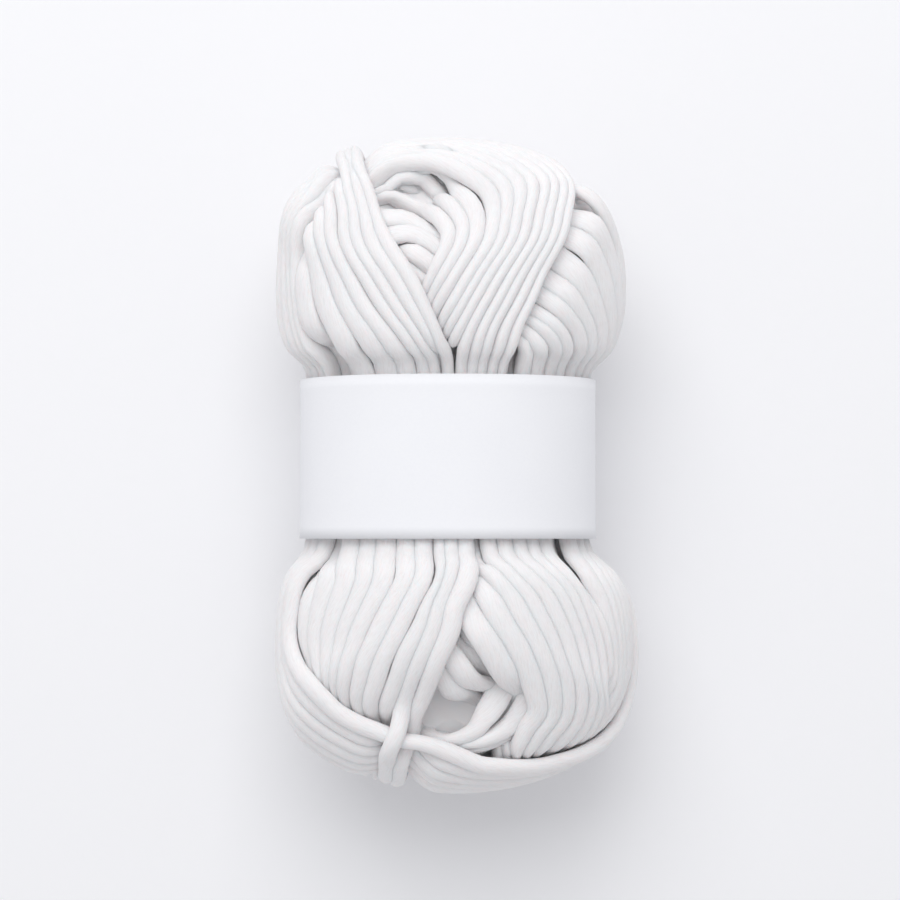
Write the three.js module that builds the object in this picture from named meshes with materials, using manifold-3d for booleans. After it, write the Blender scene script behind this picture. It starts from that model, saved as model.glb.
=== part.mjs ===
// A ball of thick soft yarn, wound on a centre core and nipped at its waist by a paper band.
// Millimetres, +Z up. The ball lies on its side: its long way runs along Y, and the tabletop
// is z = 0. Longitude runs round the ball from its upper face (0) towards +X (90) and its
// underside (180). Latitude runs from the waist (0) to the hollow in each end (90 and -90).

import * as THREE from 'three';
import { mergeVertices } from 'three/addons/utils/BufferGeometryUtils.js';
import Module from 'manifold-3d';

// Driving dimensions.
const STRAND = 5; // a strand's width as it lies among its neighbours
const GROOVE = 0.8; // how deep the groove between two strands is
const SEAT = 8; // how far a bundle of strands reaches into the ball below it
const STAGGER = 1.3; // every other bundle of a fan lies this much higher
const CORE_DROP = 3; // the plain ball below the strands lies this far inside the form
const PLAIN_BALL = { columns: 24, rows: 18 };
const BAND_HEIGHT = 44; // the paper band, along the ball
const BAND_HALF = [41.2, 34.2]; // its outer half width and half depth
const BAND_MIDDLE = { x: -1, y: 0.4, z: 42 };
const BAND_SQUARENESS = 2.2; // 2 is an ellipse, and more is squarer
const BAND_THICKNESS = 1;
const BAND_GAP = 0.3; // between the band and the yarn it holds
const BAND_SIDES = 48;
const CREAM = 0xf1ede8;
const PAPER = 0xf6f6f8;

const NUDGE = 0.01; // a small step in direction, for reading the form's slope
const ROOM = 300; // wider than the ball every way, for what is cut away round it
const RAD = Math.PI / 180;

// The form of the ball, a row for each ring of the winding: its latitude, how far its middle
// is off to the side, its half width, and where it crosses the upper face and the underside.
const FORM = [
  { lat: -90, off: 0, half: 0, faceY: -70, faceZ: 62, underY: -70, underZ: 62 },
  { lat: -81, off: 0, half: 10, faceY: -64.5, faceZ: 71, underY: -76, underZ: 68 },
  { lat: -70, off: 0, half: 26, faceY: -58, faceZ: 78, underY: -86, underZ: 61 },
  { lat: -58, off: 0.5, half: 41.5, faceY: -51, faceZ: 81.5, underY: -91, underZ: 36 },
  { lat: -46, off: 1.5, half: 48.5, faceY: -43, faceZ: 82.5, underY: -80, underZ: 6 },
  { lat: -34, off: 2, half: 49.5, faceY: -34, faceZ: 81.5, underY: -55, underZ: -2.6 },
  { lat: -27, off: 1, half: 46.5, faceY: -28.5, faceZ: 79.5, underY: -36, underZ: 2 },
  { lat: -20, off: -1, half: 40.2, faceY: -23.5, faceZ: 75.2, underY: -24.5, underZ: 9 },
  { lat: 0, off: -1, half: 38, faceY: 0, faceZ: 73, underY: 0, underZ: 11 },
  { lat: 20, off: -1, half: 40.2, faceY: 23.5, faceZ: 75.2, underY: 24.5, underZ: 9 },
  { lat: 27, off: -1, half: 47, faceY: 28.5, faceZ: 79.5, underY: 36, underZ: 2 },
  { lat: 34, off: -1, half: 50, faceY: 34, faceZ: 81.5, underY: 55, underZ: -2.6 },
  { lat: 46, off: -1.2, half: 49, faceY: 43, faceZ: 82.5, underY: 80, underZ: 6 },
  { lat: 58, off: -2.2, half: 42.5, faceY: 52, faceZ: 81.5, underY: 91, underZ: 36 },
  { lat: 70, off: -3.5, half: 26, faceY: 60, faceZ: 78, underY: 86, underZ: 61 },
  { lat: 81, off: -6, half: 10, faceY: 67, faceZ: 71, underY: 78, underZ: 68 },
  { lat: 90, off: -6, half: 0, faceY: 73, faceZ: 62, underY: 73, underZ: 62 },
];
const FORM_COLUMNS = ['off', 'half', 'faceY', 'faceZ', 'underY', 'underZ'];

// The fans of strands that show at each end, the deepest first. Each is a few flat bundles,
// and the table gives how many strands wide each one is, how many ribs it shows, how high it
// lies on the form, and its turns from the oldest to the newest. A turn crosses an end of the
// ball like a great circle, and has three numbers: the longitude and the latitude at which it
// comes nearest to the hollow, and how far it has slid round the waist.
const FANS = [
  { end: 1, strands: 4, ribs: 2, lift: -2, turns: [[180, 77, 0]] },
  { end: 1, strands: 6, ribs: 3, lift: -1.8, turns: [[-18, 54, 0], [-18, 70, -3], [-6, 88, -5]] },
  { end: 1, strands: 4, ribs: 4, lift: 0.2, turns: [[55, 85, 18], [71, 75, 14], [82, 66, 16]] },
  { end: 1, strands: 4, ribs: 4, lift: 1.4, turns: [[-148, 74, -2], [-118, 70, 1], [-91, 71, 2]] },
  { end: -1, strands: 3, ribs: 2, lift: -3, turns: [[146, 78, 0]] },
  { end: -1, strands: 6, ribs: 2, lift: -2.6, turns: [[194, 64, -4], [166, 64, -12]] },
  { end: -1, strands: 4.6, ribs: 4, lift: -1.2, turns: [[118, 54, 9], [97, 65, 3], [74, 78, 7]] },
  { end: -1, strands: 4, ribs: 4, lift: 0.4, turns: [[-139, 60, -10], [-105, 64, -13], [-84, 75, -7]] },
  { end: -1, strands: 5, ribs: 4, lift: 2.8, turns: [[-164, 67, 7]] },
];

// Where a bundle has its sections, in degrees round from where it is nearest to the hollow.
const SECTIONS = [-82, -75, -64, -53, -39, -24, -8, 8, 24, 39, 53, 64, 75, 82];
const RAISED = [20, 30]; // bundles lie flat under the band and reach their lift out here

// The direction at a longitude and latitude.
function direction(lon, lat) {
  return new THREE.Vector3(
    Math.sin(lon * RAD) * Math.cos(lat * RAD),
    Math.sin(lat * RAD),
    Math.cos(lon * RAD) * Math.cos(lat * RAD),
  );
}

// One ring of the form, eased smoothly between the rows of the table.
function ringAt(lat) {
  const last = FORM.length - 1;
  let i = 0;
  while (i < last - 1 && lat > FORM[i + 1].lat) i += 1;
  const slope = (k, name) => {
    const a = FORM[Math.max(k - 1, 0)];
    const b = FORM[Math.min(k + 1, last)];
    return (b[name] - a[name]) / (b.lat - a.lat);
  };
  const span = FORM[i + 1].lat - FORM[i].lat;
  const t = (lat - FORM[i].lat) / span;
  const ring = {};
  for (const name of FORM_COLUMNS) {
    const [a, b] = [FORM[i][name], FORM[i + 1][name]];
    const [p, q] = [slope(i, name) * span, slope(i + 1, name) * span];
    ring[name] = a + t * (p + t * (3 * (b - a) - 2 * p - q + t * (2 * (a - b) + p + q)));
  }
  return ring;
}

// The point of the form that lies in a direction.
function formPoint(dir) {
  const q = dir.clone().normalize();
  const ring = ringAt(Math.asin(THREE.MathUtils.clamp(q.y, -1, 1)) / RAD);
  const reach = Math.hypot(q.x, q.z) + 1e-9;
  const [side, face] = [q.x / reach, q.z / reach];
  return new THREE.Vector3(
    ring.off + ring.half * side,
    (ring.faceY + ring.underY) / 2 + (face * (ring.faceY - ring.underY)) / 2,
    (ring.faceZ + ring.underZ) / 2 + (face * (ring.faceZ - ring.underZ)) / 2,
  );
}

// The form's outward normal in a direction.
function formNormal(dir) {
  const q = dir.clone().normalize();
  const across = new THREE.Vector3(0, 0, 1);
  if (Math.abs(q.z) > 0.8) across.set(1, 0, 0);
  const a = q.clone().cross(across).normalize().multiplyScalar(NUDGE);
  const b = q.clone().cross(a).normalize().multiplyScalar(NUDGE);
  const along = formPoint(q.clone().add(a)).sub(formPoint(q.clone().sub(a)));
  const over = formPoint(q.clone().add(b)).sub(formPoint(q.clone().sub(b)));
  return along.cross(over).normalize();
}

// The point a height above the form in a direction.
function above(dir, height) {
  return formPoint(dir).addScaledVector(formNormal(dir), height);
}

// The direction at a step of a turn over one end: t runs from the waist at -90, past the
// hollow at 0, to the waist on the other side at 90.
function turnAt([pass, rise, slip], end, t) {
  const nearest = direction(pass, end * rise);
  const along = direction(pass + 90, 0);
  const q = nearest.multiplyScalar(Math.cos(t * RAD)).addScaledVector(along, Math.sin(t * RAD));
  const level = 1 - q.y * q.y;
  const slid = slip * level * Math.abs(Math.sin(t * RAD)) * RAD;
  return q.applyAxisAngle(new THREE.Vector3(0, 1, 0), slid);
}

// How far the ball turns under one strand's width, sideways of a turn's direction there.
function strandAngle(dir, heading) {
  const side = dir.clone().cross(heading).normalize();
  const ahead = formPoint(dir.clone().addScaledVector(heading, NUDGE)).sub(formPoint(dir));
  const across = formPoint(dir.clone().addScaledVector(side, NUDGE)).sub(formPoint(dir));
  const apart = across.projectOnPlane(ahead.normalize()).length();
  return (STRAND * NUDGE) / apart;
}

// A closed ribbed bundle of strands over one end: a crest for each strand, a groove between
// two, and edges that lie in the ball, so that it joins whatever it crosses.
function bundle({ end, turn, strands, ribs, lift }) {
  const rows = 2 * ribs;
  const last = SECTIONS.length - 1;
  const [points, faces] = [[], []];
  const at = (row, step) => step * (rows + 1) + row;
  for (let step = 0; step <= last; step += 1) {
    const t = SECTIONS[step];
    const middle = turnAt(turn, end, t);
    const heading = turnAt(turn, end, t + 1).sub(turnAt(turn, end, t - 1)).normalize();
    const width = strandAngle(middle, heading);
    const side = middle.clone().cross(heading).normalize();
    for (let row = 0; row <= rows; row += 1) {
      const dir = middle.clone().addScaledVector(side, ((row / rows) - 0.5) * strands * width);
      const lat = Math.abs(Math.asin(dir.clone().normalize().y)) / RAD;
      const raised = lift * THREE.MathUtils.smoothstep(lat, ...RAISED);
      const edge = row === 0 || row === rows;
      const ended = step === 0 || step === last;
      const height = edge || ended ? -SEAT : raised - (row % 2 === 0 ? GROOVE : 0);
      points.push(...above(dir, height).toArray());
    }
  }
  const quad = (a, b, c, d) => faces.push(a, b, c, a, c, d);
  for (let step = 0; step < last; step += 1) {
    for (let row = 0; row < rows; row += 1) {
      quad(at(row, step), at(row + 1, step), at(row + 1, step + 1), at(row, step + 1));
    }
    quad(at(rows, step), at(0, step), at(0, step + 1), at(rows, step + 1));
  }
  for (let row = 1; row < rows; row += 1) {
    faces.push(at(0, 0), at(row + 1, 0), at(row, 0));
    faces.push(at(0, last), at(row, last), at(row + 1, last));
  }
  return closedMesh(points, faces);
}

// Points and faces as a geometry, turned right side out.
function closedMesh(points, faces) {
  let volume = 0;
  const corner = (i) => new THREE.Vector3().fromArray(points, 3 * i);
  for (let k = 0; k < faces.length; k += 3) {
    const [a, b, c] = faces.slice(k, k + 3).map(corner);
    volume += a.dot(b.cross(c));
  }
  if (volume < 0) {
    for (let k = 0; k < faces.length; k += 3) {
      [faces[k + 1], faces[k + 2]] = [faces[k + 2], faces[k + 1]];
    }
  }
  const geometry = new THREE.BufferGeometry();
  geometry.setAttribute('position', new THREE.Float32BufferAttribute(points, 3));
  geometry.setIndex(faces);
  return geometry;
}

// The plain ball that the bundles lie on, closed with a point in each hollow.
function plainBall() {
  const { columns, rows } = PLAIN_BALL;
  const [points, faces] = [[], []];
  points.push(...formPoint(direction(0, -90)).toArray());
  for (let row = 1; row < rows; row += 1) {
    const lat = -90 + (180 * row) / rows;
    for (let column = 0; column < columns; column += 1) {
      const lon = (360 * column) / columns;
      points.push(...above(direction(lon, lat), -CORE_DROP).toArray());
    }
  }
  points.push(...formPoint(direction(0, 90)).toArray());
  const at = (row, column) => 1 + (row - 1) * columns + (column % columns);
  const north = 1 + (rows - 1) * columns;
  for (let column = 0; column < columns; column += 1) {
    faces.push(0, at(1, column + 1), at(1, column));
    faces.push(north, at(rows - 1, column), at(rows - 1, column + 1));
    for (let row = 1; row < rows - 1; row += 1) {
      const [a, b] = [at(row, column), at(row, column + 1)];
      const [c, d] = [at(row + 1, column + 1), at(row + 1, column)];
      faces.push(a, b, c, a, c, d);
    }
  }
  return closedMesh(points, faces);
}

const wasm = await Module();
wasm.setup();

function toSolid(geometry) {
  const bare = geometry.clone();
  bare.deleteAttribute('normal');
  bare.deleteAttribute('uv');
  const merged = mergeVertices(bare, 1e-4);
  return new wasm.Manifold(new wasm.Mesh({
    numProp: 3,
    vertProperties: merged.getAttribute('position').array,
    triVerts: new Uint32Array(merged.getIndex().array),
  }));
}

function toGeometry(solid) {
  const mesh = solid.getMesh();
  const geometry = new THREE.BufferGeometry();
  geometry.setAttribute('position', new THREE.BufferAttribute(mesh.vertProperties, 3));
  geometry.setIndex(new THREE.BufferAttribute(mesh.triVerts, 1));
  geometry.computeVertexNormals();
  return geometry;
}

// A fan of turns as its bundles, every other one lying a little higher.
function fanBundles(fan) {
  return fan.turns.map((turn, k) => bundle({
    ...fan,
    turn,
    lift: fan.lift + STAGGER * (k % 2),
  }));
}

// The band's outline this far inside its outer face, across the ball.
function bandOutline(inside) {
  const points = [];
  for (let k = 0; k < BAND_SIDES; k += 1) {
    const angle = (2 * Math.PI * k) / BAND_SIDES;
    const [x, y] = [Math.cos(angle), Math.sin(angle)].map(
      (c, i) => (BAND_HALF[i] - inside) * Math.sign(c) * Math.abs(c) ** (2 / BAND_SQUARENESS),
    );
    points.push(new THREE.Vector2(x, y));
  }
  return points;
}

// A ring round the ball's waist between two outlines.
function waistRing(outer, inner, height) {
  const shape = new THREE.Shape(outer);
  shape.holes.push(new THREE.Path(inner));
  return new THREE.ExtrudeGeometry(shape, { depth: height, bevelEnabled: false, steps: 1 })
    .translate(0, 0, -height / 2)
    .rotateX(Math.PI / 2)
    .translate(BAND_MIDDLE.x, BAND_MIDDLE.y, BAND_MIDDLE.z);
}

// What the band keeps clear as it nips the ball: everything outside its inner face.
function bandRoom() {
  const far = ROOM / 2;
  const outside = [[-far, -far], [far, -far], [far, far], [-far, far]];
  return waistRing(
    outside.map(([x, y]) => new THREE.Vector2(x, y)),
    bandOutline(BAND_THICKNESS + BAND_GAP),
    BAND_HEIGHT + 2 * BAND_GAP,
  );
}

function woundYarn() {
  let solid = toSolid(plainBall());
  for (const geometry of FANS.flatMap(fanBundles)) solid = solid.add(toSolid(geometry));
  const underTable = new THREE.BoxGeometry(ROOM, ROOM, ROOM).translate(0, 0, -ROOM / 2);
  return toGeometry(solid.subtract(toSolid(bandRoom())).subtract(toSolid(underTable)));
}

function piece(name, geometry, color, roughness) {
  const finish = new THREE.MeshStandardMaterial({ color, roughness, metalness: 0 });
  const mesh = new THREE.Mesh(geometry, finish);
  mesh.name = name;
  return mesh;
}

const ball = new THREE.Group();
ball.add(
  piece('wound_yarn', woundYarn(), CREAM, 0.95),
  piece(
    'paper_band',
    waistRing(bandOutline(0), bandOutline(BAND_THICKNESS), BAND_HEIGHT),
    PAPER,
    0.6,
  ),
);

export default ball;
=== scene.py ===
# %% [markdown]
# # A ball of thick soft yarn in a paper band
# This lesson dresses a plain measured model of a ball of yarn. The model, which the first cell
# loads, has the ball's real size and place. Each cell after that makes one piece or one finish.
# Lengths in the tables are millimetres, because a maker thinks in them, and MM turns them into
# Blender's metres. +Z is up, the ball lies on its side along Y, and the table is z = 0.

# %% The measured model
import math
import random

import bmesh
import bpy
import numpy as np
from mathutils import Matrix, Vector


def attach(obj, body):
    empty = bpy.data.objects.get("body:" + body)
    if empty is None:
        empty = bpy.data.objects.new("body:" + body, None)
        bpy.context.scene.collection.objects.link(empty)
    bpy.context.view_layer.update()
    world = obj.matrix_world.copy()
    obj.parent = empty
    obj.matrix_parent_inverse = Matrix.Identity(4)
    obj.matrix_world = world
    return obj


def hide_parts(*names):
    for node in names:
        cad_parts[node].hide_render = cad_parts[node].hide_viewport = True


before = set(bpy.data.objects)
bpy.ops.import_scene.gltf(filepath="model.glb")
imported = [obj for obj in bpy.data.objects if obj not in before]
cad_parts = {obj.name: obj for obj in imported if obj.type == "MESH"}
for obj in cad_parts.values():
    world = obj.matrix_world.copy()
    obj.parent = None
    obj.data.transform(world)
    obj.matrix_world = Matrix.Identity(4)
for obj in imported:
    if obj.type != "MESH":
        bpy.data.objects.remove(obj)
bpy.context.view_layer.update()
MM = 0.001

# %% [markdown]
# ## The camera
# The ball is seen from almost straight above, from 0.7 m, through a long lens. Making the
# camera first means that every later piece can be judged in the same view. Two degrees of tilt
# show a little more of the band's upper edge than of its lower one.

# %% Camera
VIEW_WIDTH = 252 * MM
VIEW_DISTANCE = 700 * MM
VIEW_TILT = math.radians(2)
VIEW_TARGET = Vector((-0.4 * MM, 3.2 * MM, 42 * MM))

lens = bpy.data.cameras.new("camera")
lens.sensor_width = 36
lens.lens = lens.sensor_width * VIEW_DISTANCE / VIEW_WIDTH
lens.clip_start = 0.05
camera = bpy.data.objects.new("camera", lens)
bpy.context.collection.objects.link(camera)
camera.rotation_euler = (VIEW_TILT, 0, 0)
camera.location = VIEW_TARGET + Vector((0, -math.sin(VIEW_TILT), math.cos(VIEW_TILT))) * VIEW_DISTANCE
bpy.context.scene.camera = camera
print("lens", round(lens.lens, 1), "mm")

# %% [markdown]
# ## The form of the ball
# A hand-wound or machine-wound ball keeps a simple form: a round roll with a hollow in each end.
# The winding can be thought of as drawn on a globe whose poles are the two hollows: longitude
# runs round the ball from its upper face (0) towards +X (90), and latitude from the waist (0) to
# a hollow (90 or -90). The table gives a ring of the ball for some latitudes, and a smooth
# curve between the rows gives the rest. The same table shaped the measured model.

# %% Form
# Latitude, the ring's middle and half width along X, then Y and Z of its top and its underside.
FORM = np.array([
    (-90, 0, 0, -70, 62, -70, 62),
    (-81, 0, 10, -64.5, 71, -76, 68),
    (-70, 0, 26, -58, 78, -86, 61),
    (-58, 0.5, 41.5, -51, 81.5, -91, 36),
    (-46, 1.5, 48.5, -43, 82.5, -80, 6),
    (-34, 2, 49.5, -34, 81.5, -55, -2.6),
    (-27, 1, 46.5, -28.5, 79.5, -36, 2),
    (-20, -1, 40.2, -23.5, 75.2, -24.5, 9),
    (0, -1, 38, 0, 73, 0, 11),
    (20, -1, 40.2, 23.5, 75.2, 24.5, 9),
    (27, -1, 47, 28.5, 79.5, 36, 2),
    (34, -1, 50, 34, 81.5, 55, -2.6),
    (46, -1.2, 49, 43, 82.5, 80, 6),
    (58, -2.2, 42.5, 52, 81.5, 91, 36),
    (70, -3.5, 26, 60, 78, 86, 61),
    (81, -6, 10, 67, 71, 78, 68),
    (90, -6, 0, 73, 62, 73, 62),
], float)


def direction(lon, lat):
    """Unit vectors that point at places on the globe, from degrees."""
    lon, lat = np.broadcast_arrays(np.radians(lon), np.radians(lat))
    return np.stack([np.sin(lon) * np.cos(lat), np.sin(lat), np.cos(lon) * np.cos(lat)], -1)


def unit(vectors):
    return vectors / (np.linalg.norm(vectors, axis=-1, keepdims=True) + 1e-12)


def latitude(q):
    return np.degrees(np.arcsin(np.clip(q[..., 1], -1, 1)))


def form_point(q):
    """The point of the form in each direction, in millimetres."""
    q = unit(q)
    lats, rings = FORM[:, 0], FORM[:, 1:]
    before = np.maximum(np.arange(len(lats)) - 1, 0)
    after = np.minimum(np.arange(len(lats)) + 1, len(lats) - 1)
    slopes = (rings[after] - rings[before]) / (lats[after] - lats[before])[:, None]
    lat = latitude(q)
    i = np.clip(np.searchsorted(lats, lat, side="right") - 1, 0, len(lats) - 2)
    span = (lats[i + 1] - lats[i])[..., None]
    t = (lat[..., None] - lats[i][..., None]) / span
    a, b = rings[i], rings[i + 1]
    p, r = slopes[i] * span, slopes[i + 1] * span
    ring = a + t * (p + t * (3 * (b - a) - 2 * p - r + t * (2 * (a - b) + p + r)))
    off, half, face_y, face_z, under_y, under_z = np.moveaxis(ring, -1, 0)
    reach = np.hypot(q[..., 0], q[..., 2]) + 1e-9
    side, face = q[..., 0] / reach, q[..., 2] / reach
    return np.stack([
        off + half * side,
        (face_y + under_y) / 2 + face * (face_y - under_y) / 2,
        (face_z + under_z) / 2 + face * (face_z - under_z) / 2,
    ], -1)


def form_normal(q, nudge=0.01):
    """The form's outward normal in each direction."""
    q = unit(q)
    helper = np.where(np.abs(q[..., 2:]) > 0.8, [1.0, 0, 0], [0, 0, 1.0])
    a = unit(np.cross(q, helper)) * nudge
    b = unit(np.cross(q, a)) * nudge
    return unit(np.cross(form_point(q + a) - form_point(q - a), form_point(q + b) - form_point(q - b)))


ring_at_50 = form_point(direction(np.arange(0, 360, 5), 50))
print("the form is", np.ptp(ring_at_50, axis=0).round(1), "mm at 50 degrees")

# %% [markdown]
# ## The path of one strand
# A strand is drawn on the globe as a smooth curve through a few places, each a longitude and a
# latitude. The curve is then measured out on the form itself, in even steps, so that every
# cross-section of the strand is as far from the next as the others are.

# %% Paths
STEP = 2.2  # mm between the cross-sections of a strand


def smooth_path(places, steps=145):
    """A smooth curve of directions through a few places, given as (lon, lat)."""
    q = np.array([direction(*place) for place in places])
    ends = np.concatenate([[2 * q[0] - q[1]], q, [2 * q[-1] - q[-2]]])
    u = np.linspace(0, len(q) - 1 - 1e-6, steps)
    i = u.astype(int)
    t = (u - i)[:, None]
    a, b, c, d = (ends[i + k] for k in range(4))
    square, cube = 2 * a - 5 * b + 4 * c - d, 3 * b - a - 3 * c + d
    return unit(0.5 * (2 * b + (c - a) * t + square * t ** 2 + cube * t ** 3))


def turn_path(end, passes, rise, steps=121):
    """A great circle over one end: the shortest way past the hollow, as a tight string takes."""
    t = np.radians(np.linspace(-84, 84, steps))[:, None]
    return direction(passes, end * rise) * np.cos(t) + direction(passes + 90, 0) * np.sin(t)


def evenly(q):
    """The same path with its samples evenly spaced on the form."""
    points = form_point(q)
    along = np.concatenate([[0], np.cumsum(np.linalg.norm(np.diff(points, axis=0), axis=1))])
    at = np.linspace(0, along[-1], max(int(along[-1] / STEP), 8))
    return unit(np.stack([np.interp(at, along, q[:, k]) for k in range(3)], -1))


def shifted(q, sideways):
    """The path moved sideways by millimetres on the form."""
    points, normals = form_point(q), form_normal(q)
    side = unit(np.cross(np.gradient(points, axis=0), normals))
    nudge = 0.02
    moved = form_point(q + nudge * side)
    scale = np.abs(np.sum((moved - points) * side, axis=-1)) / nudge
    return unit(q + side * (sideways / scale)[:, None])


def blur(values, reach):
    """A running mean over a number of samples, ends held."""
    reach = max(int(reach), 1)
    kernel = np.hanning(2 * reach + 3)[1:-1]
    padded = np.concatenate([np.repeat(values[:1], reach, 0), values, np.repeat(values[-1:], reach, 0)])
    return np.convolve(padded, kernel / kernel.sum(), mode="valid")


# %% [markdown]
# ## The plan of the winding
# A winder lays strands side by side in fans, and each fan crosses the one before. A fan is
# given by the paths of three of its strands, the oldest, one in the middle and the newest, from
# the waist on the upper face round the hollow to the waist below. The others lie between.
# Lift is how high the fan's surface lies on the form, and order says what lies on top:
# the lowest number is the outermost.

# %% Plan
FANS = {
    # Far end: the slanting fan on top, then the one round the hollow, then the one at the side.
    "far_slant": (9, 1.2, [
        [(-62, 8), (-66, 20), (-60, 28), (-59, 36), (-60, 44), (-65, 51), (-76, 56), (-95, 56),
         (-108, 50), (-118, 42), (-124, 32), (-127, 20), (-127, 8)],
        [(-16, 8), (-16, 20), (-18, 29), (-26, 40), (-33, 49), (-44, 58), (-62, 65), (-85, 67),
         (-108, 65), (-128, 57), (-140, 45), (-146, 26), (-146, 8)],
        [(0, 8), (0, 20), (-3, 30), (-8, 43), (-15, 56), (-35, 69), (-62, 75), (-98, 75),
         (-122, 70), (-140, 62), (-150, 50), (-156, 28), (-156, 8)]]),
    "far_cross": (11, 0.2, [
        [(-18, 8), (-18, 20), (-14, 31), (-10, 42), (-4, 54), (3, 66), (10, 76), (-20, 86),
         (-93, 80), (-82, 70), (-50, 54), (-40, 28), (-38, 8)],
        [(2, 8), (2, 20), (3, 30), (8, 42), (18, 55), (46, 68), (108, 72), (172, 70),
         (-143, 69), (-112, 67), (-60, 55), (-50, 28), (-50, 8)],
        [(22, 8), (22, 20), (22, 32), (27, 42), (36, 52), (64, 62), (104, 63), (140, 61),
         (180, 61), (-138, 60), (-98, 61), (-70, 42), (-76, 8)]]),
    "far_side": (10, 0.0, [
        [(32, 8), (32, 20), (28, 26), (20, 33), (10, 38), (0, 43), (-15, 50), (-30, 57),
         (-52, 62), (-80, 62), (-105, 52), (-115, 25), (-118, 8)],
        [(64, 8), (62, 20), (54, 28), (45, 35), (38, 42), (31, 50), (26, 58), (22, 66),
         (10, 75), (-60, 80), (-110, 66), (-125, 30), (-128, 8)],
        [(108, 8), (102, 20), (88, 28), (84, 34), (82, 42), (84, 50), (90, 56), (101, 60),
         (120, 61), (150, 62), (-178, 60), (-150, 35), (-146, 8)]]),
    # Near end, in the same order, and then the few strands across the hollow.
    "near_slant": (11, 0.8, [
        [(-76, -8), (-76, -20), (-67, -27), (-68, -34), (-68, -42), (-67, -49), (-70, -57), (-82, -63),
         (-100, -64), (-125, -60), (-145, -48), (-155, -28), (-157, -8)],
        [(-28, -8), (-28, -21), (-27, -30), (-30, -37), (-35, -45), (-40, -52), (-49, -59), (-68, -65),
         (-101, -68), (-126, -67), (-148, -58), (-160, -30), (-162, -8)],
        [(7, -8), (7, -20), (3, -31), (-1, -41), (-2, -51), (-6, -62), (-18, -74), (-68, -81),
         (-123, -79), (-148, -69), (-160, -54), (-167, -30), (-168, -8)]]),
    "near_cross": (9, -0.4, [
        [(44, -8), (43, -21), (41, -27), (44, -33), (49, -40), (58, -48), (72, -55), (90, -57),
         (108, -59), (128, -56), (142, -46), (152, -25), (154, -8)],
        [(17, -8), (17, -21), (18, -29), (23, -36), (28, -43), (34, -49), (43, -56), (59, -62),
         (85, -66), (112, -68), (140, -62), (158, -30), (162, -8)],
        [(-8, -8), (-8, -20), (-9, -30), (-8, -40), (-5, -49), (0, -58), (8, -67), (23, -74),
         (60, -79), (105, -80), (145, -72), (168, -40), (172, -8)]]),
    "near_side": (7, -0.6, [
        [(96, -8), (90, -20), (80, -28), (78, -34), (82, -40), (90, -46), (98, -50), (108, -52),
         (120, -50), (130, -44), (138, -34), (142, -20), (143, -8)],
        [(80, -8), (76, -20), (66, -27), (66, -34), (70, -41), (78, -48), (90, -53), (104, -56),
         (118, -55), (130, -49), (140, -38), (146, -22), (148, -8)],
        [(50, -8), (49, -20), (47, -27), (50, -34), (57, -42), (66, -49), (80, -55), (98, -58),
         (114, -60), (130, -56), (144, -44), (152, -22), (154, -8)]]),
}
ORDER = {"far_slant": 5.5, "far_cross": 6, "far_side": 8, "near_slant": 4, "near_cross": 6, "near_side": 8}
# The newest of these strands lie over the fan that crosses them: how many, and their order.
NEWEST = {"far_slant": (3, 4), "far_cross": (4, 5)}

# Strands that lie out of line across a hollow: their fan, order, lift and places.
SINGLE = {
    "far_stub_a": ("far_stubs", 6.5, -0.4, [
        (-100, 60), (-120, 69), (-117, 77), (-141, 81), (178, 83), (110, 83), (72, 79), (54, 75),
        (42, 67)]),
    "far_stub_b": ("far_stubs", 6.6, -0.6, [
        (-88, 66), (-97, 75), (-83, 79), (-65, 84), (26, 83), (34, 78), (31, 73), (26, 66)]),
    "far_stub_c": ("far_stubs", 6.7, -0.8, [
        (-66, 66), (-61, 75), (-47, 78), (-20, 80), (6, 76), (14, 71), (16, 68), (14, 61)]),
    "far_stub_d": ("far_stubs", 6.8, -0.8, [
        (-42, 62), (-34, 70), (-26, 73), (-11, 73), (0, 70), (4, 65), (5, 57)]),
    "near_stub_a": ("near_stubs", 5.4, -0.6, [
        (-14, -42), (-9, -52), (-4, -59), (2, -67), (12, -74), (34, -79), (70, -80)]),
    "near_stub_b": ("near_stubs", 5.5, -1.0, [
        (-18, -54), (-12, -63), (-9, -73), (3, -81), (40, -86), (96, -84)]),
    "near_arc_a": ("near_arcs", 7.2, -0.2, [
        (-100, -66), (-122, -76), (-136, -79), (-172, -82), (135, -83), (80, -82), (52, -77),
        (36, -71)]),
    "near_arc_b": ("near_arcs", 7.3, -0.6, [
        (-125, -66), (-148, -75), (-168, -79), (150, -79), (110, -77), (78, -74), (58, -70),
        (44, -63)]),
    "near_arc_c": ("near_arcs", 7.4, -1.2, [
        (-150, -66), (-172, -75), (150, -77), (118, -75), (97, -71), (80, -67), (64, -62),
        (54, -55)]),
    "near_arc_d": ("near_arcs", 7.5, -1.2, [
        (172, -66), (146, -72), (125, -70), (108, -67), (96, -64), (84, -59), (74, -53)]),
    "near_arc_e": ("near_deep_arc", 7.6, -2.0, [
        (-60, -62), (-84, -74), (-110, -84), (20, -86), (18, -76), (14, -64), (10, -52)]),
}
# The outermost strand of the ring round the near hollow, and the one that was wound last of all.
RING = [(-58, -10), (-61, -21), (-64, -27), (-65, -35), (-66, -40), (-63, -51), (-62, -57), (-66, -62),
        (-74, -66), (-83, -70), (-96, -74), (-119, -77), (-140, -79), (-167, -79), (172, -77), (158, -74),
        (147, -72), (132, -67), (119, -63), (107, -55), (104, -40), (106, -25), (108, -10)]
OVER_THE_END = [(1, -8), (1, -20), (-3, -30), (-6, -39), (-8, -50), (-13, -61), (-29, -72), (-71, -78),
                (-113, -76), (-135, -71), (-150, -62), (-160, -35), (-162, -8)]


def smooth(t):
    t = np.clip(t, 0, 1)
    return t * t * (3 - 2 * t)


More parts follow.
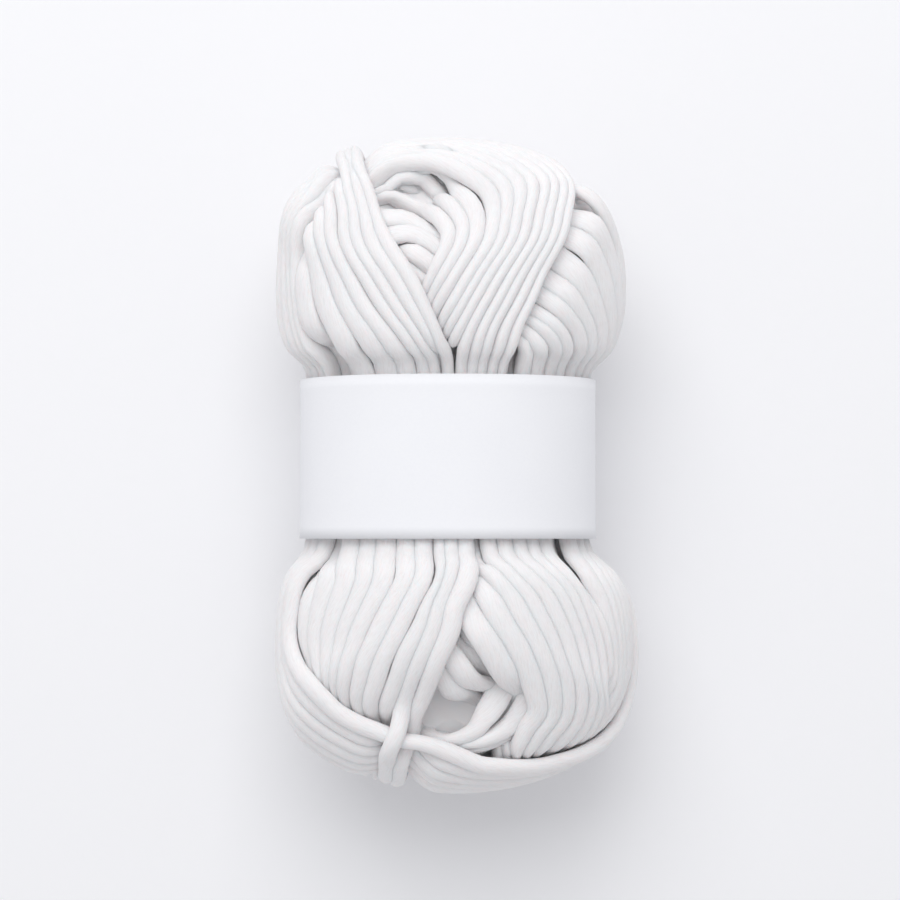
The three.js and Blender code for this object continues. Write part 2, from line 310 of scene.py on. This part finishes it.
def between(guides, u):
    """The path at u, on a smooth curve through the three guide paths at 0, 0.5 and 1."""
    oldest, middle, newest = (smooth_path(g) for g in guides)
    return unit(2 * (u - 0.5) * (u - 1) * oldest - 4 * u * (u - 1) * middle + 2 * u * (u - 0.5) * newest)


NEVER = 9  # past the end of any strand, whose length counts as 1
FAR_SLANT_SINKS, FAR_CROSS_SINKS = 0.43, 0.38  # where their oldest strands go under, of the length
SUNK_CROSSERS = 3
DRIFT = 0.12  # of the room between strands
NEAR_SLANT_REACH = 0.87  # of the way to its newest strand; the one wound last fills the rest
NARROWEST, NARROWEST_LOOSE = 3.4, 5.0  # mm, of a packed strand and of the two that lie loose
RING_STRANDS, RING_ROOM = 6, 5.0  # mm from each to the next
DEEP_STRANDS, DEEP_TURN, DEEP_LIFT = 16, 77, -3.4  # at each end, degrees from each to the next, mm

random.seed(7)
strands = []


def strand(name, fan, order, q, lift, **ways):
    """Adds a strand; ways may say that it rides over, dives at its ends or sinks from some place."""
    strands.append({"name": name, "fan": fan, "order": order, "q": evenly(q), "lift": lift,
                    "over": False, "dives": False, "sinks": NEVER, "least": NARROWEST, **ways})


for fan, (count, lift, guides) in FANS.items():
    on_top, top_order = NEWEST.get(fan, (0, 0))
    for k in range(count - 1, -1, -1):
        order = top_order if k >= count - on_top else ORDER[fan]
        drift = random.uniform(-DRIFT, DRIFT) if 0 < k < count - 1 else 0
        u = (k + drift) / (count - 1)
        if fan == "near_slant" and k < count - 2:
            u = NEAR_SLANT_REACH * (k + drift) / (count - 3)
        path = between(guides, u)
        if fan == "near_slant" and k == count - 1:
            strand("near_last", fan, 2, path, lift + 0.4, least=NARROWEST_LOOSE)
        elif fan == "near_slant" and k == count - 2:
            path = smooth_path(OVER_THE_END)
            strand("near_over", fan, 0, path, lift, over=True, least=NARROWEST_LOOSE)
        else:
            sinks = NEVER
            if fan == "far_slant" and k < count - on_top:
                sinks = FAR_SLANT_SINKS
            if fan == "far_cross" and k < SUNK_CROSSERS:
                sinks = FAR_CROSS_SINKS
            strand(f"{fan}_{k}", fan, order + 0.01 * (count - k), path, lift, sinks=sinks)
for name, (fan, order, lift, places) in SINGLE.items():
    strand(name, fan, order, smooth_path(places), lift, dives=True)
ring = smooth_path(RING)
for k in range(RING_STRANDS):
    strand(f"ring_{k}", "ring", 1 if k == 0 else 3 + 0.1 * k, ring, 3.0 if k == 0 else 1.6)
    ring = shifted(evenly(ring), RING_ROOM)
    ring = unit(np.stack([blur(ring[:, c], 5) for c in range(3)], -1))
for end in (1, -1):
    for k in range(DEEP_STRANDS):
        path = turn_path(end, DEEP_TURN * k, random.uniform(58, 84))
        strand(f"deep_{end}_{k}", f"deep_{k}", 20 + k, path, DEEP_LIFT)
strands.sort(key=lambda s: s["order"])
print(len(strands), "strands")

# %% [markdown]
# ## Settling the strands on each other
# The outermost strands lie at the surface that the form gives. Every strand below them has to
# dip where it passes under one, by the thickness of the yarn, and it can only bend gently.
# Working from the outside in, each strand is pressed down by all those already placed. Strands
# that end in a hollow, or go under a whole bundle, sink out of sight, and what has sunk presses
# on nothing. One strand was wound last and rides over its neighbours instead, so it is lifted.

# %% Settle
YARN_WIDTH = 5.4  # mm, of a strand with room
YARN_AREA = 23.0  # mm2, of its section
FILL, WIDEST = 1.12, 7.8  # of the room a strand has, mm
THINNEST, THICKEST = 3.8, 5.4  # mm
UNEVEN = 0.08  # of the width
FREE = 9.0  # mm to a mate that is too far off to count
SUNK = 7  # mm that a strand sinks to be out of sight
HIDDEN = -7.5  # mm; a strand lower than this presses on nothing
DEEPEST = -10.5  # mm below the form; nothing deeper shows
HOLLOW_LIFT = {"far": 6.0, "near": 2.5}  # mm, strands stand above the form in a hollow


def spacing(s, mates):
    """How much room this strand has at each sample, between the nearest mate on either side."""
    ahead = unit(np.gradient(s["at"], axis=0))
    across = unit(np.cross(s["up"], ahead))
    left = np.full(len(s["at"]), FREE)
    right = left.copy()
    for mate in mates:
        apart = mate["at"][None] - s["at"][:, None]
        gap = np.linalg.norm(apart, axis=-1)
        nearest = gap.argmin(1)
        rows = np.arange(len(gap))
        sideways = np.sum(apart[rows, nearest] * across, -1)
        gap = gap[rows, nearest]
        left = np.where((sideways < 0) & (gap > 1.2), np.minimum(left, gap), left)
        right = np.where((sideways >= 0) & (gap > 1.2), np.minimum(right, gap), right)
    far = FREE - 0.5
    both = np.where(left > far, right, np.where(right > far, left, (left + right) / 2))
    return np.where(both > far, YARN_WIDTH, both)


def crossing(s, other, share):
    """The other strand's height beside each sample, whether they touch, and how far they keep apart."""
    apart = np.linalg.norm(s["at"][:, None] - other["at"][None], axis=-1)
    nearest, gap = apart.argmin(1), apart.min(1)
    reach = (s["width"] + other["width"][nearest]) / 2 * share
    bulge = np.sqrt(np.clip(1 - (gap / reach) ** 2, 0, 1))
    return other["low"][nearest], gap < reach, (s["thick"] + other["thick"][nearest]) / 2 * bulge


fans = {}
for s in strands:
    s["at"], s["up"] = form_point(s["q"]), form_normal(s["q"])
    fans.setdefault(s["fan"], []).append(s)
for fan in fans.values():
    for s in fan:
        room = spacing(s, [m for m in fan if m is not s])
        wander = blur(np.array([random.gauss(0, 1) for _ in s["at"]]), 6)
        s["width"] = blur(np.clip(FILL * room, s["least"], WIDEST), 4) * (1 + UNEVEN * wander)
        s["thick"] = np.clip(YARN_AREA / s["width"], THINNEST, THICKEST)

for k, s in enumerate(strands):
    lat = latitude(s["q"])
    shown = smooth((np.abs(lat) - 20) / 10)
    hollow = smooth((np.abs(lat) - 72) / 16)
    along = np.arange(len(lat)) / (len(lat) - 1)
    lift = s["lift"] * shown + hollow * np.where(lat > 0, HOLLOW_LIFT["far"], HOLLOW_LIFT["near"])
    if s["dives"]:
        lift -= SUNK * (1 - smooth(np.minimum(along, 1 - along) * len(along) * STEP / 8))
    if s["fan"] == "near_cross" and lat.min() < -75:
        lift -= SUNK * smooth((-lat - 71) / 5)
    lift -= SUNK * smooth((along - s["sinks"]) / 0.08)
    low = lift - s["thick"] / 2
    for other in strands[:k]:
        if not other["over"]:
            height, touch, kept = crossing(s, other, 0.5 if other["fan"] == s["fan"] else 0.95)
            low = np.where(touch & (height > HIDDEN), np.minimum(low, height - kept), low)
    low = np.maximum(low, DEEPEST)
    pressed = np.minimum(np.minimum(low, np.roll(low, 1)), np.roll(low, -1))
    s["low"] = blur(pressed, 2)
for s in strands:
    if s["over"]:
        high = s["low"].copy()
        past_band = np.abs(latitude(s["q"])) > 32
        for other in strands:
            if other["fan"] != s["fan"]:
                height, touch, kept = crossing(s, other, 0.9)
                over = touch & (height > -6) & past_band
                high = np.where(over, np.maximum(high, height + kept), high)
        s["low"] = blur(high, 3)
total = sum(np.linalg.norm(np.diff(s["at"], axis=0), axis=1).sum() for s in strands)
print("length of the strands that are laid:", round(total / 1000, 1), "m")

# %% [markdown]
# ## From paths to tubes
# A strand is a flat sheet rolled up: Blender's grid operator makes the sheet, with a texture
# coordinate in millimetres along it and from 0 to 1 round it, and the sheet is then bent round
# the path and its two long edges are welded. The section is an ellipse that gets narrower and
# thicker where neighbours squeeze it.

# %% Tubes
SIDES, DEEP_SIDES = 14, 8
TABLE_GAP = 0.15  # mm; the yarn is pressed flat just above the table
TEXTURE_GAP = 37  # mm of texture between one strand and the next, so that no two look alike


def tube(bm, uv, s, sides, start):
    """Rolls one strand up in the bmesh."""
    centre = s["at"] + s["up"] * s["low"][:, None]
    ahead = unit(np.gradient(centre, axis=0))
    up = unit(s["up"] - ahead * np.sum(s["up"] * ahead, -1, keepdims=True))
    side = np.cross(ahead, up)
    taper = np.ones(len(centre))
    taper[[0, -1]], taper[[1, -2]] = 0.0, 0.6
    angle = np.linspace(0, 2 * np.pi, sides + 1)
    across = side[:, None] * np.cos(angle)[None, :, None] * (s["width"] / 2 * taper)[:, None, None]
    height = up[:, None] * np.sin(angle)[None, :, None] * (s["thick"] / 2 * taper)[:, None, None]
    ring = centre[:, None] + across + height
    ring[..., 2] = np.maximum(ring[..., 2], TABLE_GAP)
    sheet = bmesh.ops.create_grid(bm, x_segments=len(centre) - 1, y_segments=sides, size=1, calc_uvs=True)
    points = np.swapaxes(ring, 0, 1).reshape(-1, 3) * MM
    for vert, point in zip(sheet["verts"], points):
        vert.co = point
    length = STEP * (len(centre) - 1)
    for face in {f for v in sheet["verts"] for f in v.link_faces}:
        for loop in face.loops:
            u, v = loop[uv].uv
            loop[uv].uv = (start + u * length, v)
    n = len(centre)
    seam = sheet["verts"][:n] + sheet["verts"][-n:]
    ends = sheet["verts"][0::n] + sheet["verts"][n - 1::n]
    bmesh.ops.remove_doubles(bm, verts=list(set(seam + ends)), dist=1e-7)
    return length


def yarn_piece(name, members, sides=SIDES):
    """All of some strands as one object."""
    bm = bmesh.new()
    uv = bm.loops.layers.uv.new("strand")
    start = random.uniform(0, 50)
    for s in members:
        start += tube(bm, uv, s, sides, start) + TEXTURE_GAP
    bmesh.ops.recalc_face_normals(bm, faces=bm.faces)
    for face in bm.faces:
        face.smooth = True
    mesh = bpy.data.meshes.new(name)
    bm.to_mesh(mesh)
    bm.free()
    piece = bpy.data.objects.new(name, mesh)
    bpy.context.collection.objects.link(piece)
    print(name, len(members), "strands,", sum(len(p.vertices) - 2 for p in mesh.polygons), "triangles")
    return piece


yarn = []
for label in ("far", "near"):
    here = [s for s in strands if (s["at"][:, 1].mean() > 0) == (label == "far")]
    deep = [s for s in here if s["name"].startswith("deep")]
    shown = [s for s in here if not s["name"].startswith("deep")]
    yarn.append(yarn_piece(f"{label}_end_outer_strands", shown))
    yarn.append(yarn_piece(f"{label}_end_inner_strands", deep, sides=DEEP_SIDES))

# %% [markdown]
# ## The heart of the ball
# Below the strands that show lie many more. A plain closed ball, a few millimetres inside the
# form, stands for them, so that no light passes through.

# %% Heart
HEART_DROP = 7.5  # mm below the form
POLE_DROP = 2  # mm, at the two ends of the sphere, where the form has no normal
bm = bmesh.new()
bmesh.ops.create_uvsphere(bm, u_segments=48, v_segments=32, radius=1)
aim = np.array([(v.co.x, v.co.z, v.co.y) for v in bm.verts])
spots = form_point(aim) - form_normal(aim) * HEART_DROP
poles = np.abs(latitude(aim)) > 88
spots[poles] = form_point(aim[poles]) - [0, 0, POLE_DROP]
for vert, spot in zip(bm.verts, spots):
    vert.co = Vector(spot) * MM
bmesh.ops.recalc_face_normals(bm, faces=bm.faces)
bm.loops.layers.uv.new("strand")
for face in bm.faces:
    face.smooth = True
mesh = bpy.data.meshes.new("heart")
bm.to_mesh(mesh)
bm.free()
heart = bpy.data.objects.new("heart", mesh)
bpy.context.collection.objects.link(heart)
yarn.append(heart)

# %% [markdown]
# ## The paper band
# The band is a strip of paper, wrapped round the waist so tightly that it nips the ball, with its
# ends lapped and glued underneath. A circle spun round an axis would be too plain, because the
# section is a squarish oval. So a straight strip is made with the grid operator, bent round the
# oval and given its thickness by a Solidify modifier. Its two edges stand out a little.

# %% Band
BAND_HEIGHT = 44
BAND_HALF = (41.0, 34.0)
BAND_MIDDLE = (-1, 0.4, 42)
BAND_SQUARENESS = 2.2
PAPER_THICKNESS = 0.35
LAP = 0.06  # of the strip's length, lapped underneath


def oval(turns):
    """Points of the band's section, from the middle of the underside round past +X."""
    angle = 2 * np.pi * turns - np.pi / 2
    x, z = np.cos(angle), np.sin(angle)
    power = 2 / BAND_SQUARENESS
    return BAND_HALF[0] * np.sign(x) * np.abs(x) ** power, BAND_HALF[1] * np.sign(z) * np.abs(z) ** power


bm = bmesh.new()
uv = bm.loops.layers.uv.new("paper")
AROUND, TALL = 160, 14
sheet = bmesh.ops.create_grid(bm, x_segments=AROUND, y_segments=TALL, size=1, calc_uvs=True)
dense = np.linspace(0, 1 + LAP, 2001)
ox, oz = oval(dense)
run = np.concatenate([[0], np.cumsum(np.hypot(np.diff(ox), np.diff(oz)))])
for vert in sheet["verts"]:
    u, v = (vert.co.x + 1) / 2, (vert.co.y + 1) / 2
    turns = float(np.interp(u * run[-1], run, dense))
    x, z = (float(c) for c in oval(np.array(turns)))
    outward = Vector((x / BAND_HALF[0] ** 2, 0, z / BAND_HALF[1] ** 2)).normalized()
    lift = 0.0 if turns < 1 - 0.01 else 0.5 * min((turns - 0.99) / 0.02, 1)
    edge = abs(2 * v - 1) ** 8 * 0.25
    vert.co = (Vector(BAND_MIDDLE) + Vector((x, (v - 0.5) * BAND_HEIGHT, z)) + outward * (lift + edge)) * MM
bmesh.ops.recalc_face_normals(bm, faces=bm.faces)
for face in bm.faces:
    face.smooth = True
    for loop in face.loops:
        loop[uv].uv = (loop[uv].uv[0] * run[-1], loop[uv].uv[1] * BAND_HEIGHT)
mesh = bpy.data.meshes.new("band")
bm.to_mesh(mesh)
bm.free()
band = bpy.data.objects.new("band", mesh)
bpy.context.collection.objects.link(band)
wall = band.modifiers.new("wall", "SOLIDIFY")
wall.thickness = PAPER_THICKNESS * MM
wall.offset = 0

# %% [markdown]
# ## Writing materials as sums
# Materials are easier to read as arithmetic than as boxes and wires. The small class below wraps
# one output of a node, so that adding or multiplying two of them adds the Math node that does it.

# %% Shader arithmetic
class Wire:
    def __init__(self, shader, socket):
        self.shader, self.socket = shader, socket

    def maths(self, operation, a, b):
        return self.shader.node("ShaderNodeMath", {"operation": operation}, {0: a, 1: b})

    def __add__(self, other): return self.maths("ADD", self, other)
    def __mul__(self, other): return self.maths("MULTIPLY", self, other)


class Shader:
    def __init__(self, name, **constants):
        self.material = bpy.data.materials.new(name)
        self.material.use_nodes = True
        self.tree = self.material.node_tree
        self.surface = self.tree.nodes["Principled BSDF"]
        for socket, value in constants.items():
            self.surface.inputs[socket.replace("_", " ")].default_value = value

    def node(self, kind, settings=None, inputs=None, output=0):
        node = self.tree.nodes.new(kind)
        for name, value in (settings or {}).items():
            if name == "stops":
                ramp = node.color_ramp
                while len(ramp.elements) < len(value):
                    ramp.elements.new(1)
                for element, (place, colour) in zip(ramp.elements, value):
                    element.position, element.color = place, colour
            else:
                setattr(node, name, value)
        for key, value in (inputs or {}).items():
            self.feed(node.inputs[key], value)
        return Wire(self, node.outputs[output])

    def feed(self, socket, value):
        if isinstance(value, Wire):
            self.tree.links.new(value.socket, socket)
        else:
            socket.default_value = value

    def finish(self, **wires):
        for socket, value in wires.items():
            self.feed(self.surface.inputs[socket.replace("_", " ")], value)


# %% [markdown]
# ## Wool
# The yarn is a single soft strand of fine wool, hardly twisted, so its fibres lie almost along
# it. Streaks that are long along the strand and narrow round it are the fibres: they make
# faint lines and a slight bump. Wider, softer swells make the strand uneven. The noise is laid
# round a circle, so that it has no seam. Wool lets light in and scatters it, a little warmer,
# into its grooves, and it has no gloss, only the pale sheen of its loose fibres.

# %% Wool material
wool = Shader("wool", Roughness=0.95, Sheen_Weight=0.2, Sheen_Roughness=0.5, Specular_IOR_Level=0.1,
              Subsurface_Weight=0.35, Subsurface_Scale=1.6 * MM, Subsurface_Radius=(1.0, 0.72, 0.66))
place = wool.node("ShaderNodeUVMap", {"uv_map": "strand"})
along = wool.node("ShaderNodeSeparateXYZ", inputs={0: place}, output=0)
round_it = wool.node("ShaderNodeSeparateXYZ", inputs={0: place}, output=1) * math.tau
turned = round_it + along * 0.07
cosine = wool.node("ShaderNodeMath", {"operation": "COSINE"}, {0: turned})
sine = wool.node("ShaderNodeMath", {"operation": "SINE"}, {0: turned})
fibre_place = wool.node("ShaderNodeCombineXYZ", inputs={0: along * 0.10, 1: cosine * 2.6, 2: sine * 2.6})
fibres = wool.node("ShaderNodeTexNoise", inputs={
    "Vector": fibre_place, "Scale": 3.6, "Detail": 5.0, "Roughness": 0.7})
swell_place = wool.node("ShaderNodeCombineXYZ", inputs={0: along * 0.22, 1: cosine * 1.2, 2: sine * 1.2})
swells = wool.node("ShaderNodeTexNoise", inputs={"Vector": swell_place, "Scale": 0.7, "Detail": 1.0})
height = fibres * 0.34 + swells * 0.25
bump = wool.node("ShaderNodeBump", inputs={"Height": height, "Distance": 0.8 * MM, "Strength": 0.7})
tone = wool.node("ShaderNodeValToRGB", {"stops": [
    (0.30, (0.85, 0.82, 0.82, 1)),
    (0.50, (0.91, 0.895, 0.90, 1)),
    (0.72, (0.94, 0.93, 0.94, 1))]}, {0: fibres})
wool.finish(Base_Color=tone, Normal=bump)
for piece in yarn:
    piece.data.materials.append(wool.material)

# %% [markdown]
# ## Paper
# The band is smooth uncoated paper, a little bluer than the wool. Its faint fibres show as a very
# fine bump.

# %% Paper material
paper = Shader("paper", Roughness=0.6, Specular_IOR_Level=0.3)
spot = paper.node("ShaderNodeTexCoord", output=3)
grain = paper.node("ShaderNodeTexNoise", inputs={"Vector": spot, "Scale": 1400.0, "Detail": 3.0})
cloud = paper.node("ShaderNodeTexNoise", inputs={"Vector": spot, "Scale": 60.0, "Detail": 2.0})
shade = paper.node("ShaderNodeValToRGB", {"stops": [
    (0.3, (0.885, 0.89, 0.92, 1)), (0.7, (0.91, 0.915, 0.94, 1))]}, {0: cloud * 0.5 + grain * 0.5})
bump = paper.node("ShaderNodeBump", inputs={"Height": grain, "Distance": 0.05 * MM, "Strength": 0.3})
paper.finish(Base_Color=shade, Normal=bump)
band.data.materials.append(paper.material)

# %% [markdown]
# ## Table and light
# A plain pale table, one big soft light beyond the far end, and a bright even room.

# %% Stage
bm = bmesh.new()
bmesh.ops.create_grid(bm, x_segments=1, y_segments=1, size=1.5)
mesh = bpy.data.meshes.new("table")
bm.to_mesh(mesh)
bm.free()
table = bpy.data.objects.new("table", mesh)
bpy.context.collection.objects.link(table)
ground = Shader("table", Roughness=0.9, Specular_IOR_Level=0.1)
ground.finish(Base_Color=(0.93, 0.93, 0.945, 1))
table.data.materials.append(ground.material)


def soft_light(name, size, power, place):
    lamp = bpy.data.lights.new(name, "AREA")
    lamp.size, lamp.energy = size, power
    light = bpy.data.objects.new(name, lamp)
    light.location = place
    light.rotation_euler = (Vector((0, 0, 0.04)) - Vector(place)).to_track_quat("-Z", "Y").to_euler()
    bpy.context.collection.objects.link(light)


soft_light("window", 1.2, 11.5, (-0.14, 0.82, 1.22))
room = bpy.data.worlds.new("room")
room.use_nodes = True
room.node_tree.nodes["Background"].inputs["Color"].default_value = (0.97, 0.975, 1.0, 1)
room.node_tree.nodes["Background"].inputs["Strength"].default_value = 0.63
bpy.context.scene.world = room
bpy.context.scene.view_settings.view_transform = "Standard"

# %% [markdown]
# ## Handing the pieces over
# Each piece rides on the ball's one body, fills a material slot, and takes the place of the plain
# solid that it dresses.

# %% Hand over
for piece in yarn:
    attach(piece, "root")
    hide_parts("wound_yarn")
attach(band, "root")
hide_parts("paper_band")
